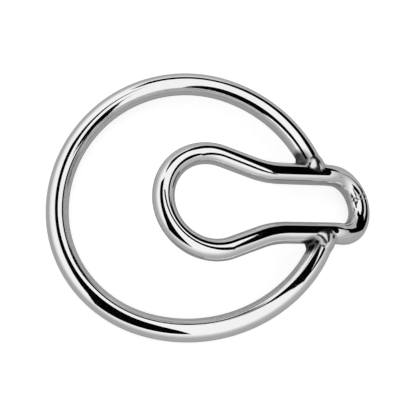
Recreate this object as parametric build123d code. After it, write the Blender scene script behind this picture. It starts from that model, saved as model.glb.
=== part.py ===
from build123d import *
from math import asin, atan2, cos, degrees, hypot, radians, sin
import os

# A rigid welded wire puzzle: an open ring whose two ends are welded to the outside of the
# legs of a closed keyhole loop. The loop's round bulb stands up inside the ring, and its neck
# passes out through the gap in the ring and bends down. All sizes are in millimetres and degrees.
#
# The model is first made in the ring's own plane: Z = 0 is the plane of the ring's centre line,
# -X is the side opposite the gap, and the neck points to +X. It is then laid down as it rests on
# a table, on the far side of the ring and on the end of the neck.

# Bars
ring_bar_diameter = 6.35
loop_bar_diameter = 6.0

# Ring, along the bar's centre line. Each stretch is an arc: its radius as a share of the ring's
# radius, and how far it turns. The last stretch of each side runs on until it meets the loop.
ring_radius = 36.5
upper_stretches = [(1.047, 51), (0.948, 64)]
upper_end_ratio = 1.123
lower_stretches = [(0.94, 68), (1.123, 62)]
lower_end_ratio = 1.025

# Keyhole loop, along the bar's centre line
bulb_radius = 13.65
leg_half_spacing = 8.6
flare_angle = 19
flare_bend_radius = 25.5
loop_offset = -2.3
loop_slope = 19.3
bulb_to_neck_bend = 34.4
neck_bend_radius = 13
neck_end_slope = 36

# Welds
bulb_to_welds = 32.5
weld_root = 2.0
weld_reach = 6.0
weld_waist = 3.1
weld_skin = 0.12  # how far a bead stands proud of the ring's bar where it starts
weld_start_slack = 0.012  # makes the first section an ellipse, as the others are
weld_waist_growth = 1.2
weld_waist_lean = 0.35
weld_foot_length = 11.8
weld_foot_lean = 0.8
weld_foot_height = 5.5
closing_weld_position = 72
closing_weld_length = 1.4
closing_weld_crown = 0.06

ring_bar_radius = ring_bar_diameter / 2
loop_bar_radius = loop_bar_diameter / 2
quarter_turn = 90


# Ring

def turn_to_height(start, heading, radius, side, height):
    """How far an arc turns before its centre line reaches this Y."""
    centre = start + heading.rotate(Axis.Z, -side * quarter_turn) * radius
    start_angle = atan2(start.Y - centre.Y, start.X - centre.X)
    end_angle = asin((height - centre.Y) / radius)
    return degrees(side * (start_angle - end_angle))


def ring_side(side, stretches, end_ratio, height):
    """Arcs from the far side of the ring to one end: side 1 is upper, -1 is lower."""
    point = Vector(-ring_radius, 0)
    heading = Vector(0, side)
    arcs = []
    for ratio, turn in stretches:
        arcs.append(JernArc(point, heading, ratio * ring_radius, -side * turn))
        point = arcs[-1] @ 1
        heading = arcs[-1] % 1
    end_radius = end_ratio * ring_radius
    turn = turn_to_height(point, heading, end_radius, side, height)
    arcs.append(JernArc(point, heading, end_radius, -side * turn))
    return arcs


def swept_bar(edges, radius):
    path = Wire(edges)
    section = Plane(origin=path @ 0, z_dir=path % 0) * Circle(radius)
    bar = sweep(section, path=path)
    print("  bar", round(path.length, 2), "mm long, volume over section times length",
          round(bar.volume / (path.length * Circle(radius).area), 5))
    return bar


upper_leg_y = loop_offset + leg_half_spacing
lower_leg_y = loop_offset - leg_half_spacing
upper_arcs = ring_side(1, upper_stretches, upper_end_ratio, upper_leg_y + weld_root)
lower_arcs = ring_side(-1, lower_stretches, lower_end_ratio, lower_leg_y - weld_root)

# Where the ring's centre line, run on, crosses the axis of each leg, and its direction there
upper_run = ring_side(1, upper_stretches, upper_end_ratio, upper_leg_y)[-1]
lower_run = ring_side(-1, lower_stretches, lower_end_ratio, lower_leg_y)[-1]
weld_x = ((upper_run @ 1).X + (lower_run @ 1).X) / 2


# Keyhole loop, drawn in its own plane: u runs from the bulb's centre to the neck, v across it

loop_plane = Plane(
    origin=(weld_x - bulb_to_welds * cos(radians(loop_slope)), loop_offset,
            bulb_to_welds * sin(radians(loop_slope))),
    x_dir=(cos(radians(loop_slope)), 0, -sin(radians(loop_slope))),
    z_dir=(sin(radians(loop_slope)), 0, cos(radians(loop_slope))),
)
neck_turn = neck_end_slope - loop_slope


def flared_leg(side):
    """One side of the flat loop: the straight flare, the bend at its foot and the leg."""
    tangent_angle = quarter_turn - flare_angle
    start = Vector(bulb_radius, 0).rotate(Axis.Z, side * tangent_angle)
    heading = Vector(1, 0).rotate(Axis.Z, -side * flare_angle)
    drop = abs(start.Y) - leg_half_spacing - flare_bend_radius * (1 - cos(radians(flare_angle)))
    flare = Line(start, start + heading * (drop / sin(radians(flare_angle))))
    bend = JernArc(flare @ 1, heading, flare_bend_radius, side * flare_angle)
    leg = Line(bend @ 1, (bulb_to_neck_bend, side * leg_half_spacing))
    return [flare, bend, leg]


def neck_bend(side):
    """The downward bend of one leg, in the upright plane of that leg."""
    upright = Plane(origin=(bulb_to_neck_bend, side * leg_half_spacing, 0),
                    x_dir=(1, 0, 0), z_dir=(0, -1, 0))
    return upright * JernArc((0, 0), (1, 0), neck_bend_radius, -neck_turn)


def neck_arc(first, last):
    """Part of the round end of the neck, by angle from the upper leg."""
    down = radians(neck_turn)
    origin = (bulb_to_neck_bend + neck_bend_radius * sin(down), 0,
              -neck_bend_radius * (1 - cos(down)))
    end_plane = Plane(origin=origin, x_dir=(cos(down), 0, -sin(down)), z_dir=(sin(down), 0, cos(down)))
    return end_plane * CenterArc((0, 0), leg_half_spacing, quarter_turn - first, first - last)


half_turn = 2 * quarter_turn
closing_weld_half_angle = degrees(closing_weld_length / 2 / leg_half_spacing)
weld_first = closing_weld_position - closing_weld_half_angle
weld_last = closing_weld_position + closing_weld_half_angle
bulb_angle = quarter_turn - flare_angle
bulb = CenterArc((0, 0), bulb_radius, bulb_angle, 2 * (half_turn - bulb_angle))

loop_edges = [neck_arc(0, weld_first), neck_bend(1)]
loop_edges += flared_leg(1)[::-1] + [bulb] + flared_leg(-1)
loop_edges += [neck_bend(-1), neck_arc(weld_last, half_turn)]
loop_edges = [loop_plane * edge for edge in loop_edges]
closing_edge = loop_plane * neck_arc(weld_first, weld_last)

keyhole_loop_bar = swept_bar(loop_edges, loop_bar_radius)
loop_closing_weld = swept_bar([closing_edge], loop_bar_radius + closing_weld_crown)
ring_bar = swept_bar(upper_arcs[::-1] + lower_arcs, ring_bar_radius) - keyhole_loop_bar


# Weld beads: collars that start a little proud of the ring's bar and spread out along the leg,
# leaning into the sharper corner, on the bulb's side

def weld_bead(run):
    def section(back, length, height, lean):
        place = 1 - back / run.length
        toward_leg = run % place
        across = loop_plane.x_dir - toward_leg * loop_plane.x_dir.dot(toward_leg)
        along_leg = across.normalized()
        plane = Plane(origin=run @ place - along_leg * lean, x_dir=along_leg, z_dir=toward_leg)
        return plane * Ellipse(length / 2, height / 2)

    start = ring_bar_diameter + 2 * weld_skin
    collar = loft([
        section(weld_reach, start + weld_start_slack, start, 0),
        section(weld_waist, ring_bar_diameter * weld_waist_growth, start, weld_waist_lean),
        section(0, weld_foot_length, weld_foot_height, weld_foot_lean),
    ])
    return collar - ring_bar - keyhole_loop_bar


upper_weld_bead = weld_bead(upper_run)
lower_weld_bead = weld_bead(lower_run)


# Laying the part down: the far side of the ring and the end of the neck touch the table

neck_end = (loop_plane * neck_arc(0, half_turn)) @ 0.5
reach = neck_end.X + ring_radius
lift = asin((loop_bar_radius - ring_bar_radius) / hypot(reach, neck_end.Z)) - atan2(neck_end.Z, reach)

parts = {
    "ring_bar": ring_bar,
    "keyhole_loop_bar": keyhole_loop_bar,
    "upper_weld_bead": upper_weld_bead,
    "lower_weld_bead": lower_weld_bead,
    "loop_closing_weld": loop_closing_weld,
}
resting = {name: Rot(Y=-degrees(lift)) * shape for name, shape in parts.items()}
box = Compound(list(resting.values())).bounding_box()
to_origin = Pos(-box.center().X, -box.center().Y, -box.min.Z)

os.makedirs("parts", exist_ok=True)
for name, shape in resting.items():
    export_step(to_origin * shape, f"parts/{name}.step")
print("overall", [round(size, 2) for size in box.size], "lift", round(degrees(lift), 2))
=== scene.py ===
import bpy
from math import asin, atan2, cos, degrees, hypot, pi, radians, sin
from mathutils import Matrix, Vector


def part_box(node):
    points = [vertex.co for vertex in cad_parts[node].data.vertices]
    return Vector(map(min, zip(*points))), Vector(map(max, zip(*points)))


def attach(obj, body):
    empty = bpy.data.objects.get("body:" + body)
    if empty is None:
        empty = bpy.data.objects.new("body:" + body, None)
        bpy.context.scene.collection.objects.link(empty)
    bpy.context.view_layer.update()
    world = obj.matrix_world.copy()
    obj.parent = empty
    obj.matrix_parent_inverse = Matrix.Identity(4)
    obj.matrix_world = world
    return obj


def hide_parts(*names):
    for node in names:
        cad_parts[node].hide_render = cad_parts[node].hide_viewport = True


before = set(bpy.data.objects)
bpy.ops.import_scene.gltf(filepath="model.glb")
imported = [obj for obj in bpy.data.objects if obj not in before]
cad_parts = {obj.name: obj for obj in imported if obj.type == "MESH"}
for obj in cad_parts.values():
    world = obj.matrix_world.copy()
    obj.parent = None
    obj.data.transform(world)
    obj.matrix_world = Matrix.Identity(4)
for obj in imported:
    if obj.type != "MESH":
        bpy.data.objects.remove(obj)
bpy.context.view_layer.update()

print("cad frame loaded")

mm = 0.001
quarter = 90
pickSlack = 1.001  # how much wider than a bar its end is picked

# Both bars are described in the ring's own plane, in millimetres and degrees, and laid down at the end.
ring = {
    "barRadius": 3.175,
    "radius": 36.5,
    "upperStretches": [(1.047, 51), (0.948, 64)],  # share of the ring's radius, turn
    "upperEnd": 1.123,
    "lowerStretches": [(0.94, 68), (1.123, 62)],
    "lowerEnd": 1.025,
    "root": 2.0,  # how far the bar stops short of a leg's axis
    "sides": 96,
    "step": 1.5,  # turn between two rings of points
}
loop = {
    "barRadius": 3.0,
    "bulbRadius": 13.65,
    "legHalfSpacing": 8.6,
    "flareAngle": 19,
    "flareBendRadius": 25.5,
    "offset": -2.3,
    "slope": 19.3,
    "bulbToNeckBend": 34.4,
    "neckBendRadius": 13,
    "neckEndSlope": 36,
    "bulbToWelds": 32.5,
    "sides": 96,
    "step": 2,
    "straightStep": 1.0,
}


# A bar starts as a circle of points, and the steps below draw out what is selected in edit mode.
def startBar(name, radius, sides, place, turn):
    bpy.ops.object.select_all(action="DESELECT")
    bpy.ops.mesh.primitive_circle_add(vertices=sides, radius=radius * mm,
                                      location=Vector(place) * mm, rotation=turn)
    bar = bpy.context.object
    bar.name = bar.data.name = name
    bpy.ops.object.transform_apply(location=True, rotation=True, scale=True)
    bpy.ops.object.mode_set(mode="EDIT")
    bpy.ops.mesh.select_all(action="SELECT")
    return bar


def drawRound(centre, axis, turn, steps):
    # spin counts its angle the other way round from the right-hand rule
    bpy.ops.mesh.spin(steps=steps, angle=-radians(turn), center=Vector(centre) * mm, axis=axis)


def bendRound(centre, axis, turn, step):
    drawRound(centre, axis, turn, max(2, round(abs(turn) / step)))


def drawOut(heading, length, step):
    steps = max(1, round(length / step))
    for _ in range(steps):
        move = Vector(heading) * (length / steps * mm)
        bpy.ops.mesh.extrude_region_move(TRANSFORM_OT_translate={"value": move})


def selectNear(bar, place, reach):
    bpy.ops.mesh.select_all(action="DESELECT")
    bpy.ops.object.mode_set(mode="OBJECT")
    for point in bar.data.vertices:
        point.select = (point.co - Vector(place) * mm).length < reach * mm
    bpy.ops.object.mode_set(mode="EDIT")


def finishBar(bar):
    bpy.ops.mesh.select_all(action="SELECT")
    bpy.ops.mesh.normals_make_consistent(inside=False)
    bpy.ops.object.mode_set(mode="OBJECT")
    bpy.ops.object.shade_smooth()


def laid(bar, place):
    bar.matrix_world = place
    bpy.ops.object.select_all(action="DESELECT")
    bar.select_set(True)
    bpy.context.view_layer.objects.active = bar
    bpy.ops.object.transform_apply(location=True, rotation=True, scale=True)
    return bar


# The arcs run from the far side of the ring to one end; side 1 is upper, -1 lower.
def ringArcs(side, stretches, endShare, height):
    point = Vector((-ring["radius"], 0, 0))
    heading = Vector((0, side, 0))
    arcs = []
    for share, turn in stretches + [(endShare, None)]:
        radius = share * ring["radius"]
        inward = Vector((side * heading.y, -side * heading.x, 0))
        centre = point + inward * radius
        if turn is None:
            start = atan2(point.y - centre.y, point.x - centre.x)
            turn = degrees(side * (start - asin((height - centre.y) / radius)))
        swing = Matrix.Rotation(-side * radians(turn), 3, "Z")
        point = centre + swing @ (point - centre)
        heading = swing @ heading
        arcs.append((centre, -side * turn))
    return arcs, point, heading


upperLeg = loop["offset"] + loop["legHalfSpacing"]
lowerLeg = loop["offset"] - loop["legHalfSpacing"]
upperArcs, _, _ = ringArcs(1, ring["upperStretches"], ring["upperEnd"], upperLeg + ring["root"])
lowerArcs, _, _ = ringArcs(-1, ring["lowerStretches"], ring["lowerEnd"], lowerLeg - ring["root"])
_, upperJoin, upperHeading = ringArcs(1, ring["upperStretches"], ring["upperEnd"], upperLeg)
_, lowerJoin, lowerHeading = ringArcs(-1, ring["lowerStretches"], ring["lowerEnd"], lowerLeg)
weldX = (upperJoin.x + lowerJoin.x) / 2

slope = radians(loop["slope"])
legAlong = Vector((cos(slope), 0, -sin(slope)))
neckTurn = loop["neckEndSlope"] - loop["slope"]
loopCentre = Vector((weldX - loop["bulbToWelds"] * cos(slope), loop["offset"],
                     loop["bulbToWelds"] * sin(slope)))
loopPlace = Matrix.Translation(loopCentre * mm) @ Matrix.Rotation(slope, 4, "Y")

# The neck's round end lies in its own plane, turned down from the rest of the loop.
neckDown = radians(neckTurn)
neckCentre = Vector((loop["bulbToNeckBend"] + loop["neckBendRadius"] * sin(neckDown), 0,
                     -loop["neckBendRadius"] * (1 - cos(neckDown))))
neckNormal = Vector((sin(neckDown), 0, cos(neckDown)))
neckAlong = Vector((cos(neckDown), 0, -sin(neckDown)))

# The part lies on the ring's far side and on the neck's end.
neckTip = loopPlace @ ((neckCentre + neckAlong * loop["legHalfSpacing"]) * mm) / mm
reach = neckTip.x + ring["radius"]
lift = asin((loop["barRadius"] - ring["barRadius"]) / hypot(reach, neckTip.z)) - atan2(neckTip.z, reach)
ringLow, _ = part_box("ring_bar")
loopLow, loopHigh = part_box("keyhole_loop_bar")
ringCentre = Vector((ringLow.x + (ring["radius"] * cos(lift) + ring["barRadius"]) * mm,
                     (loopLow.y + loopHigh.y) / 2 - loop["offset"] * mm,
                     (ring["radius"] * sin(lift) + ring["barRadius"]) * mm))
layDown = Matrix.Translation(ringCentre) @ Matrix.Rotation(-lift, 4, "Y")


def makeRingBar():
    start = (-ring["radius"], 0, 0)
    bar = startBar("ringBar", ring["barRadius"], ring["sides"], start, (radians(quarter), 0, 0))
    for centre, turn in upperArcs:
        bendRound(centre, (0, 0, 1), turn, ring["step"])
    bpy.ops.mesh.edge_face_add()
    selectNear(bar, start, ring["barRadius"] * pickSlack)
    for centre, turn in lowerArcs:
        bendRound(centre, (0, 0, 1), turn, ring["step"])
    bpy.ops.mesh.edge_face_add()
    finishBar(bar)
    return laid(bar, layDown)


# Half of the loop runs from the bulb's far side to the closing weld; side 1 is upper.
def halfLoop(side, seam):
    bulbTurn = quarter + loop["flareAngle"]
    flare = radians(loop["flareAngle"])
    bendRound((0, 0, 0), (0, 0, 1), -side * bulbTurn, loop["step"])
    drop = loop["bulbRadius"] * cos(flare) - loop["legHalfSpacing"]
    drop -= loop["flareBendRadius"] * (1 - cos(flare))
    heading = Vector((cos(flare), -side * sin(flare), 0))
    flareStart = Vector((loop["bulbRadius"] * sin(flare), side * loop["bulbRadius"] * cos(flare), 0))
    flareLength = drop / sin(flare)
    drawOut(heading, flareLength, loop["straightStep"])
    flareEnd = flareStart + heading * flareLength
    centre = flareEnd + Vector((sin(flare), side * cos(flare), 0)) * loop["flareBendRadius"]
    bendRound(centre, (0, 0, 1), side * loop["flareAngle"], loop["step"])
    legLength = loop["bulbToNeckBend"] - centre.x
    drawOut((1, 0, 0), legLength, loop["straightStep"])
    bendRound((loop["bulbToNeckBend"], 0, -loop["neckBendRadius"]), (0, 1, 0), neckTurn, loop["step"])
    bendRound(neckCentre, neckNormal, -side * seam, loop["step"])
    bpy.ops.mesh.edge_face_add()


def makeKeyholeBar():
    start = (-loop["bulbRadius"], 0, 0)
    halfWeld = degrees(closingWeld["length"] / 2 / loop["legHalfSpacing"])
    bar = startBar("keyholeBar", loop["barRadius"], loop["sides"], start, (radians(quarter), 0, 0))
    halfLoop(1, closingWeld["position"] - halfWeld)
    selectNear(bar, start, loop["barRadius"] * pickSlack)
    halfLoop(-1, 2 * quarter - closingWeld["position"] - halfWeld)
    finishBar(bar)
    return laid(bar, layDown @ loopPlace)


closingWeld = {
    "position": 72,  # round the neck's end from its upper leg
    "length": 1.4,
    "crown": 0.05,
    "steps": 10,
}


# A short crowned band, drawn round the neck's end one ring of points at a time.
def makeClosingWeld():
    length = degrees(closingWeld["length"] / loop["legHalfSpacing"])
    toFirst = Matrix.Rotation(-radians(closingWeld["position"] - length / 2), 3, neckNormal)
    swing = Matrix.Rotation(-radians(length / closingWeld["steps"]), 3, neckNormal)
    outward = toFirst @ Vector((0, loop["legHalfSpacing"], 0))
    turn = (toFirst @ neckAlong).to_track_quat("Z", "Y").to_euler()
    band = startBar("closingWeld", loop["barRadius"], loop["sides"], neckCentre + outward, turn)
    bpy.ops.mesh.edge_face_add()
    swell = 1
    for number in range(closingWeld["steps"]):
        drawRound(neckCentre, neckNormal, -length / closingWeld["steps"], 1)
        outward = swing @ outward
        rise = sin(pi * (number + 1) / closingWeld["steps"])
        wider = 1 + closingWeld["crown"] / loop["barRadius"] * rise
        bpy.ops.transform.resize(value=(wider / swell,) * 3, center_override=(neckCentre + outward) * mm)
        swell = wider
    finishBar(band)
    return laid(band, layDown @ loopPlace)


# Each weld is melted from the end of the ring's bar, the leg that it meets and the filler on both:
# remeshed as one and smoothed, it fills the corners and sinks below both bars away from them.
weld = {
    "barStub": 8.5,  # how much of the ring's bar, and of the leg on the bulb's side, is melted in
    "legStub": 7.5,
    "sides": 64,
    "ballSides": 48,
    "ballRings": 24,
    "domeRadius": 3.45,  # filler round the end of the ring's bar, up to the top of the leg
    "domeLength": 4.6,
    "domeBack": 2.3,
    "domeLean": 0.05,
    "domeRise": 0.2,
    "padLength": 3.8,  # filler that has run along the leg, towards the bulb
    "padRadius": 2.45,
    "padBack": 1.4,
    "padSide": 0.95,
    "padRise": 0.75,
    "cornerBack": 4.6,  # filler in the sharper corner, on the bulb's side
    "cornerSide": 2.9,
    "cornerRadius": 1.6,
    "voxel": 0.24,
    "smoothing": 60,
    "smoothingShare": 0.5,
    "ripple": 0.02,
    "rippleSize": 2.6,
    "pitRadius": 0.45,
    "pitPlace": (2.0, 0.4),  # from the upper join, along and across the leg
    "pitDepth": 0.2,
}


def addBall(place, size, turn=(0, 0, 0)):
    bpy.ops.mesh.primitive_uv_sphere_add(segments=weld["ballSides"], ring_count=weld["ballRings"],
                                         radius=mm, location=Vector(place) * mm, scale=size,
                                         rotation=turn)


def applyAll(piece):
    bpy.context.view_layer.objects.active = piece
    for modifier in list(piece.modifiers):
        bpy.ops.object.modifier_apply(modifier=modifier.name)


# The side of a bar's end that faces the neck.
def outerSide(side, heading):
    return Vector((heading.y * -side, heading.x * side, 0))


def cornerPlace(side, join, heading):
    return join - heading * weld["cornerBack"] - outerSide(side, heading) * weld["cornerSide"]


def meltTogether(piece):
    melt = piece.modifiers.new("melt", "REMESH")
    melt.mode = "VOXEL"
    melt.voxel_size = weld["voxel"] * mm
    flow = piece.modifiers.new("flow", "SMOOTH")
    flow.factor = weld["smoothingShare"]
    flow.iterations = weld["smoothing"]
    unevenness = bpy.data.textures.new("weldRipple", "CLOUDS")
    unevenness.noise_scale = weld["rippleSize"] * mm
    ripple = piece.modifiers.new("ripple", "DISPLACE")
    ripple.texture = unevenness
    ripple.strength = weld["ripple"] * mm
    applyAll(piece)


# The leg at a weld, drawn like the loop's own bar so that it never stands out of it.
def makeLegStub(side):
    start = Vector((loop["bulbToWelds"] - weld["legStub"], side * loop["legHalfSpacing"], 0))
    stub = startBar("legStub", loop["barRadius"], weld["sides"], start, (0, radians(quarter), 0))
    bpy.ops.mesh.edge_face_add()
    drawOut((1, 0, 0), loop["bulbToNeckBend"] - start.x, loop["straightStep"])
    bendRound((loop["bulbToNeckBend"], 0, -loop["neckBendRadius"]), (0, 1, 0), neckTurn, loop["step"])
    finishBar(stub)
    return laid(stub, loopPlace)


def makeWeld(name, side, join, heading, arc):
    legStub = makeLegStub(side)
    toLeg = heading.to_track_quat("Z", "Y").to_euler()
    piece = startBar(name, ring["barRadius"], weld["sides"], join, toLeg)
    bpy.ops.mesh.edge_face_add()
    stubTurn = degrees(weld["barStub"] / (join - arc[0]).length)
    bendRound(arc[0], (0, 0, 1), side * stubTurn, ring["step"])
    dome = join - heading * weld["domeBack"] + outerSide(side, heading) * weld["domeLean"]
    dome.z = weld["domeRise"]
    addBall(dome, (weld["domeRadius"], weld["domeRadius"], weld["domeLength"]), toLeg)
    addBall(cornerPlace(side, join, heading), (weld["cornerRadius"],) * 3)
    pad = Vector((weldX, join.y + side * weld["padSide"], weld["padRise"])) - legAlong * weld["padBack"]
    addBall(pad, (weld["padRadius"], weld["padRadius"], weld["padLength"]),
            legAlong.to_track_quat("Z", "Y").to_euler())
    bpy.ops.object.mode_set(mode="OBJECT")
    legStub.select_set(True)
    piece.select_set(True)
    bpy.context.view_layer.objects.active = piece
    bpy.ops.object.join()
    meltTogether(piece)
    bpy.ops.object.shade_smooth()
    return piece


# A gas pit in the top of a bead. Where it is now, the leg beside it still covers it.
def makePit(piece, join):
    across, aside = weld["pitPlace"]
    above = Vector((join.x + across, join.y + aside, 2 * ring["barRadius"])) * mm
    found, surface, _, _ = piece.ray_cast(above, (0, 0, -1))
    if not found:
        return
    bpy.ops.object.select_all(action="DESELECT")
    middle = surface / mm + Vector((0, 0, weld["pitRadius"] - weld["pitDepth"]))
    addBall(middle, (weld["pitRadius"],) * 3)
    ball = bpy.context.object
    bpy.ops.object.transform_apply(location=True, rotation=True, scale=True)
    cut = piece.modifiers.new("pit", "BOOLEAN")
    cut.operation = "DIFFERENCE"
    cut.object = ball
    applyAll(piece)
    bpy.data.objects.remove(ball)


ringBar = makeRingBar()
keyholeBar = makeKeyholeBar()
closingBand = makeClosingWeld()
upperWeld = makeWeld("upperWeld", 1, upperJoin, upperHeading, upperArcs[-1])
lowerWeld = makeWeld("lowerWeld", -1, lowerJoin, lowerHeading, lowerArcs[-1])
makePit(upperWeld, upperJoin)
laid(upperWeld, layDown)
laid(lowerWeld, layDown)
standsFor = [
    (ringBar, "ring_bar", "polished_steel"),
    (keyholeBar, "keyhole_loop_bar", "polished_steel"),
    (closingBand, "loop_closing_weld", "weld_steel"),
    (upperWeld, "upper_weld_bead", "weld_steel"),
    (lowerWeld, "lower_weld_bead", "weld_steel"),
]
for piece, node, finish in standsFor:
    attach(piece, "root")
    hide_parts(node)
print("bars and welds made")


# One group per shared effect; each material gives it its own values.
def startGroup(name, inputs, outputs):
    group = bpy.data.node_groups.new(name, "ShaderNodeTree")
    for title, value in inputs:
        socket = group.interface.new_socket(title, in_out="INPUT", socket_type="NodeSocketFloat")
        socket.default_value = value
    for title in outputs:
        group.interface.new_socket(title, in_out="OUTPUT", socket_type="NodeSocketFloat")
    return group, group.nodes.new("NodeGroupInput"), group.nodes.new("NodeGroupOutput")


def addMath(tree, operation, first, second):
    node = tree.nodes.new("ShaderNodeMath")
    node.operation = operation
    for socket, value in zip(node.inputs, (first, second)):
        if isinstance(value, bpy.types.NodeSocket):
            tree.links.new(value, socket)
        else:
            socket.default_value = value
    return node.outputs["Value"]


def addNoise(tree, place, scale, detail):
    noise = tree.nodes.new("ShaderNodeTexNoise")
    noise.inputs["Detail"].default_value = detail
    tree.links.new(place, noise.inputs["Vector"])
    if isinstance(scale, bpy.types.NodeSocket):
        tree.links.new(scale, noise.inputs["Scale"])
    else:
        noise.inputs["Scale"].default_value = scale
    return noise.outputs["Fac"]


def addRange(tree, value, low, high, toLow, toHigh):
    fit = tree.nodes.new("ShaderNodeMapRange")
    tree.links.new(value, fit.inputs["Value"])
    names = ("From Min", "From Max", "To Min", "To Max")
    for name, number in zip(names, (low, high, toLow, toHigh)):
        fit.inputs[name].default_value = number
    return fit.outputs["Result"]


scratches = {
    "turns": [(0, 0, 20), (35, 10, -50), (-20, 60, 75)],  # the ways that the cloth went
    "stretch": 0.02,
    "density": 1400,
    "detail": 2,
    "keep": 0.68,  # only the strongest lines show
}
haze = {"large": 55, "largeDetail": 3, "fine": 420, "fineDetail": 5, "dust": 0.3, "range": (0.4, 0.9)}
waves = {"scale": 90, "detail": 2}
# how far the painted shade round each weld's sharper corner reaches, where it is full, and how high its
# centre sits, in millimetres
corners = {"reach": 3.9, "core": 2.3, "rise": 1.2}


# Hairlines left by the polishing wheel and by handling.
def makeScratchGroup():
    group, given, result = startGroup("polishingScratches", [("Density", scratches["density"])], ["Lines"])
    where = group.nodes.new("ShaderNodeTexCoord")
    total = 0.0
    for turn in scratches["turns"]:
        lay = group.nodes.new("ShaderNodeMapping")
        lay.inputs["Rotation"].default_value = [radians(angle) for angle in turn]
        lay.inputs["Scale"].default_value = (scratches["stretch"], 1, 1)
        group.links.new(where.outputs["Object"], lay.inputs["Vector"])
        lines = addNoise(group, lay.outputs["Vector"], given.outputs["Density"], scratches["detail"])
        total = addMath(group, "MAXIMUM", addRange(group, lines, scratches["keep"], 1, 0, 1), total)
    group.links.new(total, result.inputs["Lines"])
    return group


# Broad, soft differences in polish, with fine dust in them.
def makeHazeGroup():
    group, given, result = startGroup("polishHaze", [("Dust", haze["dust"])], ["Haze"])
    where = group.nodes.new("ShaderNodeTexCoord").outputs["Object"]
    broad = addNoise(group, where, haze["large"], haze["largeDetail"])
    fine = addNoise(group, where, haze["fine"], haze["fineDetail"])
    dust = addMath(group, "MULTIPLY", fine, given.outputs["Dust"])
    group.links.new(addMath(group, "ADD", broad, dust), result.inputs["Haze"])
    return group


# Slow waves in a surface that was bent, or melted, before it was polished.
def makeWaveGroup():
    group, given, result = startGroup("surfaceWaves", [("Scale", waves["scale"])], ["Height"])
    where = group.nodes.new("ShaderNodeTexCoord").outputs["Object"]
    height = addNoise(group, where, given.outputs["Scale"], waves["detail"])
    group.links.new(height, result.inputs["Height"])
    return group


# Painted shade: the base colour darkens towards the sharper corner at each weld, standing in for the shade
# that falls there.
def makePaintedCornerShadeGroup():
    group, given, result = startGroup("paintedWeldCornerShade", [("Strength", 1)], ["Shade"])
    where = group.nodes.new("ShaderNodeTexCoord").outputs["Object"]
    shade = 0.0
    for side, join, heading in ((1, upperJoin, upperHeading), (-1, lowerJoin, lowerHeading)):
        corner = cornerPlace(side, join, heading) + Vector((0, 0, corners["rise"]))
        distance = group.nodes.new("ShaderNodeVectorMath")
        distance.operation = "DISTANCE"
        group.links.new(where, distance.inputs[0])
        distance.inputs[1].default_value = layDown @ (corner * mm)
        far, near = corners["reach"] * mm, corners["core"] * mm
        closeness = addRange(group, distance.outputs["Value"], far, near, 0, 1)
        shade = addMath(group, "MAXIMUM", closeness, shade)
    group.links.new(addMath(group, "MULTIPLY", shade, given.outputs["Strength"]), result.inputs["Shade"])
    return group


scratchGroup = makeScratchGroup()
paintedCornerShadeGroup = makePaintedCornerShadeGroup()
hazeGroup = makeHazeGroup()
waveGroup = makeWaveGroup()
polishedSteel = {
    "name": "polishedSteel",
    "bright": (0.94, 0.94, 0.945, 1),
    "dull": (0.88, 0.88, 0.89, 1),
    "roughness": (0.03, 0.06),
    "scratchRoughness": 0.08,
    "scratchDensity": 1400,
    "scratchHeight": 0.0005,  # mm
    "waveScale": 60,
    "waveHeight": 0.025,
    "dust": 0.3,
    # painted shade in the weld corners: how strongly it darkens, and its near-black colour
    "paintedShade": 0.95,
    "paintedShadeColour": (0.05, 0.052, 0.056, 1),
}
weldSteel = {
    "name": "weldSteel",
    "bright": (0.93, 0.93, 0.935, 1),
    "dull": (0.78, 0.78, 0.79, 1),
    "roughness": (0.1, 0.16),
    "scratchRoughness": 0.16,
    "scratchDensity": 900,
    "scratchHeight": 0.001,
    "waveScale": 300,
    "waveHeight": 0.008,
    "dust": 0.6,
    # painted shade in the weld corners: how strongly it darkens, and its near-black colour
    "paintedShade": 0.95,
    "paintedShadeColour": (0.05, 0.052, 0.056, 1),
}


def placeGroup(tree, group, **values):
    node = tree.nodes.new("ShaderNodeGroup")
    node.node_tree = group
    for title, value in values.items():
        node.inputs[title].default_value = value
    return node.outputs[0]


def makeSteel(finish):
    material = bpy.data.materials.new(finish["name"])
    material.use_nodes = True
    tree = material.node_tree
    shader = tree.nodes["Principled BSDF"]
    shader.inputs["Metallic"].default_value = 1
    mottle = placeGroup(tree, hazeGroup, Dust=finish["dust"])
    lines = placeGroup(tree, scratchGroup, Density=finish["scratchDensity"])
    swells = placeGroup(tree, waveGroup, Scale=finish["waveScale"])
    tint = tree.nodes.new("ShaderNodeMix")
    tint.data_type = "RGBA"
    tree.links.new(addRange(tree, mottle, *haze["range"], 0, 1), tint.inputs["Factor"])
    tint.inputs["A"].default_value = finish["bright"]
    tint.inputs["B"].default_value = finish["dull"]
    # painted shade: the corner mask mixes the base colour towards near-black
    paintedShade = tree.nodes.new("ShaderNodeMix")
    paintedShade.data_type = "RGBA"
    tree.links.new(placeGroup(tree, paintedCornerShadeGroup, Strength=finish["paintedShade"]), paintedShade.inputs["Factor"])
    tree.links.new(tint.outputs["Result"], paintedShade.inputs["A"])
    paintedShade.inputs["B"].default_value = finish["paintedShadeColour"]
    tree.links.new(paintedShade.outputs["Result"], shader.inputs["Base Color"])
    rough = addRange(tree, mottle, *haze["range"], *finish["roughness"])
    lined = addMath(tree, "MULTIPLY", lines, finish["scratchRoughness"])
    tree.links.new(addMath(tree, "ADD", rough, lined), shader.inputs["Roughness"])
    normal = None
    for height, depth in ((swells, finish["waveHeight"]), (lines, finish["scratchHeight"])):
        bump = tree.nodes.new("ShaderNodeBump")
        bump.inputs["Distance"].default_value = depth * mm
        tree.links.new(height, bump.inputs["Height"])
        if normal:
            tree.links.new(normal, bump.inputs["Normal"])
        normal = bump.outputs["Normal"]
    tree.links.new(normal, shader.inputs["Normal"])
    return material


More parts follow.
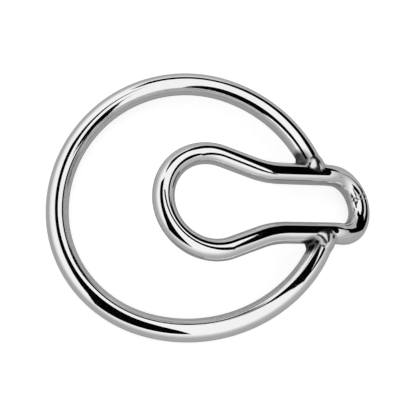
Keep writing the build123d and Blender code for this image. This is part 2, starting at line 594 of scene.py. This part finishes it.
def giveMaterial(piece, material):
    piece.data.materials.clear()
    piece.data.materials.append(material)


barMaterial = makeSteel(polishedSteel)
weldMaterial = makeSteel(weldSteel)
for piece, node, finish in standsFor:
    giveMaterial(piece, weldMaterial if finish == "weld_steel" else barMaterial)
    giveMaterial(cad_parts[node], weldMaterial if finish == "weld_steel" else barMaterial)
print("materials made")

camera = {
    "sensor": 36,
    "clipStart": 0.01,
    "elevation": 72.44,  # above the ring's plane
    "azimuth": -4.89,
    "distance": 257.3,
    "lens": 79.65,
    "target": (0.31, 0.83, 0),
    "shift": (0.0459, -0.0104),
}


def makeCamera():
    elevation, azimuth = radians(camera["elevation"]), radians(camera["azimuth"])
    back = Vector((sin(azimuth) * cos(elevation), -cos(azimuth) * cos(elevation), sin(elevation)))
    right = Vector((cos(azimuth), sin(azimuth), 0))
    up = back.cross(right)
    place = Matrix((right, up, back)).transposed().to_4x4()
    place.translation = (back * camera["distance"] + Vector(camera["target"])) * mm
    lens = bpy.data.cameras.new("camera")
    lens.sensor_width = camera["sensor"]
    lens.lens = camera["lens"]
    lens.shift_x, lens.shift_y = camera["shift"]
    lens.clip_start = camera["clipStart"]
    eye = bpy.data.objects.new("camera", lens)
    bpy.context.scene.collection.objects.link(eye)
    eye.matrix_world = layDown @ place
    bpy.context.scene.camera = eye


# A light tent: white all round above a grey table edge, and dark flags that draw the steel's black lines.
studio = {
    "floorSize": 3,
    "floorGrey": 0.47,  # what the steel sees of the floor
    "floorGlow": 0.72,  # what the camera sees of it beside its own grey, so that only contacts show
    "tentWhite": 0.97,
    "tentGrey": 0.48,
    "tentEdge": (0.15, 0.62),  # height over which the tent's wall turns white
    "tentTilt": (-0.15, 0, 1),
}
flags = {  # height of each over the floor, and its corners, in millimetres
    "sideFlag": (110, [(-74, 74), (-20, 60), (-28, 10), (-23, -146), (-207, -131), (-112, -44), (-90, 0)]),
    "neckFlag": (110, [(84, -58), (150, -50), (176, 96), (76, 86)]),
    "middleFlag": (70, [(-10, 17), (2, 16), (25, 4), (39, -6), (53, -23), (68, -51), (37, -33), (10, -9),
                        (-5, 10)]),
    "farFlag": (300, [(-97, 520), (109, 520), (333, 820), (923, 1203), (1400, 428), (358, 226), (187, 234),
                      (140, 290), (75, 280), (0, 252), (-64, 234), (-97, 300)]),
}

endFlag = {"across": 80, "corners": [(-12, 0), (16, 0), (16, 20), (-12, 20)]}  # stands beyond the neck


def makeFloor():
    bpy.ops.object.select_all(action="DESELECT")
    bpy.ops.mesh.primitive_plane_add(size=studio["floorSize"])
    floor = bpy.context.object
    floor.name = "floor"
    material = bpy.data.materials.new("paleFloor")
    material.use_nodes = True
    tree = material.node_tree
    tree.nodes.clear()
    seen = tree.nodes.new("ShaderNodeLightPath").outputs["Is Camera Ray"]
    matt = tree.nodes.new("ShaderNodeBsdfDiffuse")
    matt.inputs["Color"].default_value = (studio["floorGrey"],) * 3 + (1,)
    glow = tree.nodes.new("ShaderNodeEmission")
    tree.links.new(addMath(tree, "MULTIPLY", seen, studio["floorGlow"]), glow.inputs["Strength"])
    both = tree.nodes.new("ShaderNodeAddShader")
    tree.links.new(matt.outputs["BSDF"], both.inputs[0])
    tree.links.new(glow.outputs["Emission"], both.inputs[1])
    output = tree.nodes.new("ShaderNodeOutputMaterial")
    tree.links.new(both.outputs["Shader"], output.inputs["Surface"])
    giveMaterial(floor, material)


def makeFlags():
    black = bpy.data.materials.new("blackFlag")
    black.use_nodes = True
    shader = black.node_tree.nodes["Principled BSDF"]
    shader.inputs["Base Color"].default_value = (0, 0, 0, 1)
    shader.inputs["Specular IOR Level"].default_value = 0
    shapes = {name: [(x, y, height) for x, y in outline] for name, (height, outline) in flags.items()}
    shapes["endFlag"] = [(endFlag["across"], y, z) for y, z in endFlag["corners"]]
    for name, outline in shapes.items():
        bpy.ops.object.select_all(action="DESELECT")
        bpy.ops.mesh.primitive_circle_add(vertices=len(outline), fill_type="NGON")
        flag = bpy.context.object
        flag.name = name
        for point, corner in zip(flag.data.vertices, outline):
            point.co = Vector(corner) * mm
        flag.visible_camera = False
        flag.visible_diffuse = False
        flag.visible_shadow = False
        giveMaterial(flag, black)


def makeTent():
    world = bpy.data.worlds.new("lightTent")
    bpy.context.scene.world = world
    world.use_nodes = True
    tree = world.node_tree
    background = tree.nodes["Background"]
    rise = tree.nodes.new("ShaderNodeVectorMath")
    rise.operation = "DOT_PRODUCT"
    tree.links.new(tree.nodes.new("ShaderNodeTexCoord").outputs["Generated"], rise.inputs[0])
    rise.inputs[1].default_value = studio["tentTilt"]
    low, high = studio["tentEdge"]
    wall = addRange(tree, rise.outputs["Value"], low, high, studio["tentGrey"], studio["tentWhite"])
    seen = tree.nodes.new("ShaderNodeLightPath").outputs["Is Camera Ray"]
    tree.links.new(addMath(tree, "MAXIMUM", wall, seen), background.inputs["Color"])


makeCamera()
makeFloor()
makeFlags()
makeTent()
bpy.context.scene.view_settings.view_transform = "Standard"
print("camera, floor and light made")
